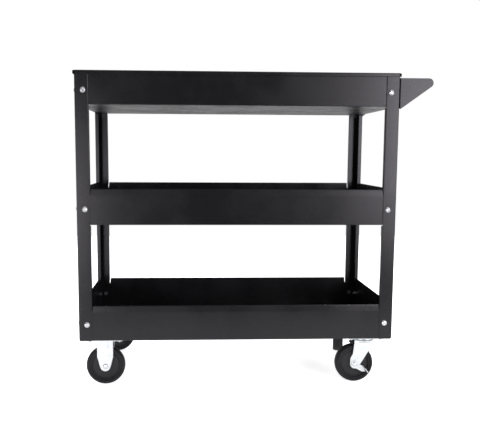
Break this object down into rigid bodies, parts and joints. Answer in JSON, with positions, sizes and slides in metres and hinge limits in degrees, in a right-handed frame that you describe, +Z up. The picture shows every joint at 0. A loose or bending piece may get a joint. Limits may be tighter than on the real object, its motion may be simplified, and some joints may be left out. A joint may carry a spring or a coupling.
{
  "type": "rolling utility cart",
  "caption": "Steel rolling utility cart with stacked open trays between angle posts, a push handle at one end, and rigid and braked swivel casters.",
  "frame": {"origin": "on the floor, under the middle of the overall length and depth", "axes": "+X along the cart towards the push handle, -Y the front, +Z up"},
  "size_m": [0.8889, 0.428, 0.797],
  "materials": {
    "black_powder_coat": "semi-gloss fine-texture black powder coat",
    "zinc_plate": "bright zinc plate",
    "black_rubber": "matt black rubber",
    "hub_plastic": "satin moulded black plastic"
  },
  "bodies": {
    "cart": {"bottom_tray": "black_powder_coat", "middle_tray": "black_powder_coat", "top_tray": "black_powder_coat", "post_left_front": "black_powder_coat", "post_left_rear": "black_powder_coat", "post_right_front": "black_powder_coat", "post_right_rear": "black_powder_coat", "bolt_bottom_left_front_face": "zinc_plate", "bolt_bottom_left_front_end": "zinc_plate", "bolt_bottom_left_rear_face": "zinc_plate", "bolt_bottom_left_rear_end": "zinc_plate", "bolt_bottom_right_front_face": "zinc_plate", "bolt_bottom_right_front_end": "zinc_plate", "bolt_bottom_right_rear_face": "zinc_plate", "bolt_bottom_right_rear_end": "zinc_plate", "bolt_middle_left_front_face": "zinc_plate", "bolt_middle_left_front_end": "zinc_plate", "bolt_middle_left_rear_face": "zinc_plate", "bolt_middle_left_rear_end": "zinc_plate", "bolt_middle_right_front_face": "zinc_plate", "bolt_middle_right_front_end": "zinc_plate", "bolt_middle_right_rear_face": "zinc_plate", "bolt_middle_right_rear_end": "zinc_plate", "bolt_top_left_front_face": "zinc_plate", "bolt_top_left_front_end": "zinc_plate", "bolt_top_left_rear_face": "zinc_plate", "bolt_top_left_rear_end": "zinc_plate", "bolt_top_right_front_face": "zinc_plate", "bolt_top_right_front_end": "zinc_plate", "bolt_top_right_rear_face": "zinc_plate", "bolt_top_right_rear_end": "zinc_plate", "handle_bracket_front": "black_powder_coat", "handle_bracket_rear": "black_powder_coat", "handle_tube": "black_powder_coat", "rigid_fork_left_front": "zinc_plate", "axle_left_front": "zinc_plate", "rigid_fork_left_rear": "zinc_plate", "axle_left_rear": "zinc_plate", "swivel_plate_right_front": "zinc_plate", "swivel_race_right_front": "zinc_plate", "kingpin_right_front": "zinc_plate", "swivel_plate_right_rear": "zinc_plate", "swivel_race_right_rear": "zinc_plate", "kingpin_right_rear": "zinc_plate"},
    "wheel_left_front": {"tyre_left_front": "black_rubber", "hub_left_front": "hub_plastic"},
    "wheel_left_rear": {"tyre_left_rear": "black_rubber", "hub_left_rear": "hub_plastic"},
    "swivel_right_front": {"swivel_fork_right_front": "zinc_plate", "axle_right_front": "zinc_plate"},
    "wheel_right_front": {"tyre_right_front": "black_rubber", "hub_right_front": "hub_plastic"},
    "lever_right_front": {"brake_lever_right_front": "zinc_plate"},
    "shoe_right_front": {"brake_shoe_right_front": "black_rubber"},
    "swivel_right_rear": {"swivel_fork_right_rear": "zinc_plate", "axle_right_rear": "zinc_plate"},
    "wheel_right_rear": {"tyre_right_rear": "black_rubber", "hub_right_rear": "hub_plastic"},
    "lever_right_rear": {"brake_lever_right_rear": "zinc_plate"},
    "shoe_right_rear": {"brake_shoe_right_rear": "black_rubber"}
  },
  "joints": [
    {"name": "wheel_left_front_spin", "type": "hinge", "parent": "cart", "child": "wheel_left_front", "pos_m": [-0.3795, -0.16, 0.05], "axis": [0, 1, 0], "continuous": true},
    {"name": "wheel_left_rear_spin", "type": "hinge", "parent": "cart", "child": "wheel_left_rear", "pos_m": [-0.3795, 0.16, 0.05], "axis": [0, 1, 0], "continuous": true},
    {"name": "swivel_right_front_turn", "type": "hinge", "parent": "cart", "child": "swivel_right_front", "pos_m": [0.2985, -0.16, 0.108], "axis": [0, 0, 1], "continuous": true},
    {"name": "wheel_right_front_spin", "type": "hinge", "parent": "swivel_right_front", "child": "wheel_right_front", "pos_m": [0.273, -0.16, 0.05], "axis": [0, 1, 0], "continuous": true},
    {"name": "brake_right_front_press", "type": "hinge", "parent": "swivel_right_front", "child": "lever_right_front", "pos_m": [0.273, -0.16, 0.05], "axis": [0, 1, 0], "range_deg": [0, 18]},
    {"name": "shoe_right_front_travel", "type": "slide", "parent": "swivel_right_front", "child": "shoe_right_front", "axis": [0, 0, -1], "range_m": [0, 0.0015]},
    {"name": "swivel_right_rear_turn", "type": "hinge", "parent": "cart", "child": "swivel_right_rear", "pos_m": [0.2985, 0.16, 0.108], "axis": [0, 0, 1], "continuous": true},
    {"name": "wheel_right_rear_spin", "type": "hinge", "parent": "swivel_right_rear", "child": "wheel_right_rear", "pos_m": [0.2932, 0.13506, 0.05], "axis": [-0.9781, 0.2079, 0], "continuous": true},
    {"name": "brake_right_rear_press", "type": "hinge", "parent": "swivel_right_rear", "child": "lever_right_rear", "pos_m": [0.2932, 0.13506, 0.05], "axis": [-0.9781, 0.2079, 0], "range_deg": [0, 18]},
    {"name": "shoe_right_rear_travel", "type": "slide", "parent": "swivel_right_rear", "child": "shoe_right_rear", "axis": [0, 0, -1], "range_m": [0, 0.0015]}
  ],
  "couplings": [
    {"joint": "shoe_right_front_travel", "follows": "brake_right_front_press", "m_per_rad": 0.0047747},
    {"joint": "shoe_right_rear_travel", "follows": "brake_right_rear_press", "m_per_rad": 0.0047747}
  ]
}
